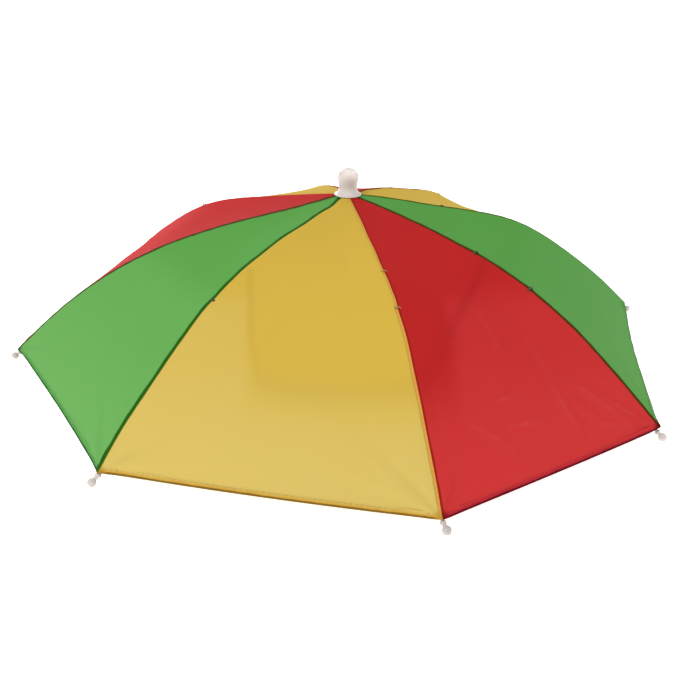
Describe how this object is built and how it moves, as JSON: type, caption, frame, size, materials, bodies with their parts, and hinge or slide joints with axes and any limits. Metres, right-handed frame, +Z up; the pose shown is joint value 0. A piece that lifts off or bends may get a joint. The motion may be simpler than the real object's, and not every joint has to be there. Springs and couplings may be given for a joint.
{
  "type": "umbrella hat",
  "caption": "Hat in the form of a small open umbrella: cloth gores over bent ribs with ball tips, a knob on the crown, and a headband hung inside on straps.",
  "frame": {"origin": "on the canopy's axis, at the level of the surface that the hat rests on", "axes": "+Z up along the shaft; +X along the first rib, which in the picture points right and a little away"},
  "size_m": [0.5117, 0.5118, 0.1357],
  "materials": {
    "yellow_cloth": "thin woven nylon, soft sheen",
    "red_cloth": "thin woven nylon, soft sheen",
    "green_cloth": "thin woven nylon, soft sheen",
    "rib_wire": "drawn wire",
    "tip_plastic": "off-white, moulded",
    "ferrule_plastic": "milky, slightly see-through, moulded",
    "hub_plastic": "moulded",
    "band_elastic": "woven elastic",
    "strap_tape": "narrow woven tape"
  },
  "bodies": {
    "root": {"gore_1": "yellow_cloth", "gore_2": "red_cloth", "gore_3": "yellow_cloth", "gore_4": "red_cloth", "gore_5": "green_cloth", "gore_6": "yellow_cloth", "gore_7": "red_cloth", "gore_8": "green_cloth", "rib_1": "rib_wire", "rib_2": "rib_wire", "rib_3": "rib_wire", "rib_4": "rib_wire", "rib_5": "rib_wire", "rib_6": "rib_wire", "rib_7": "rib_wire", "rib_8": "rib_wire", "rib_tip_1": "tip_plastic", "rib_tip_2": "tip_plastic", "rib_tip_3": "tip_plastic", "rib_tip_4": "tip_plastic", "rib_tip_5": "tip_plastic", "rib_tip_6": "tip_plastic", "rib_tip_7": "tip_plastic", "rib_tip_8": "tip_plastic", "stretcher_1": "rib_wire", "stretcher_2": "rib_wire", "stretcher_3": "rib_wire", "stretcher_4": "rib_wire", "stretcher_5": "rib_wire", "stretcher_6": "rib_wire", "stretcher_7": "rib_wire", "stretcher_8": "rib_wire", "strap_1": "strap_tape", "strap_2": "strap_tape", "strap_3": "strap_tape", "strap_4": "strap_tape", "ferrule": "ferrule_plastic", "shaft": "hub_plastic", "top_notch": "hub_plastic", "runner": "hub_plastic", "headband": "band_elastic"}
  },
  "joints": []
}
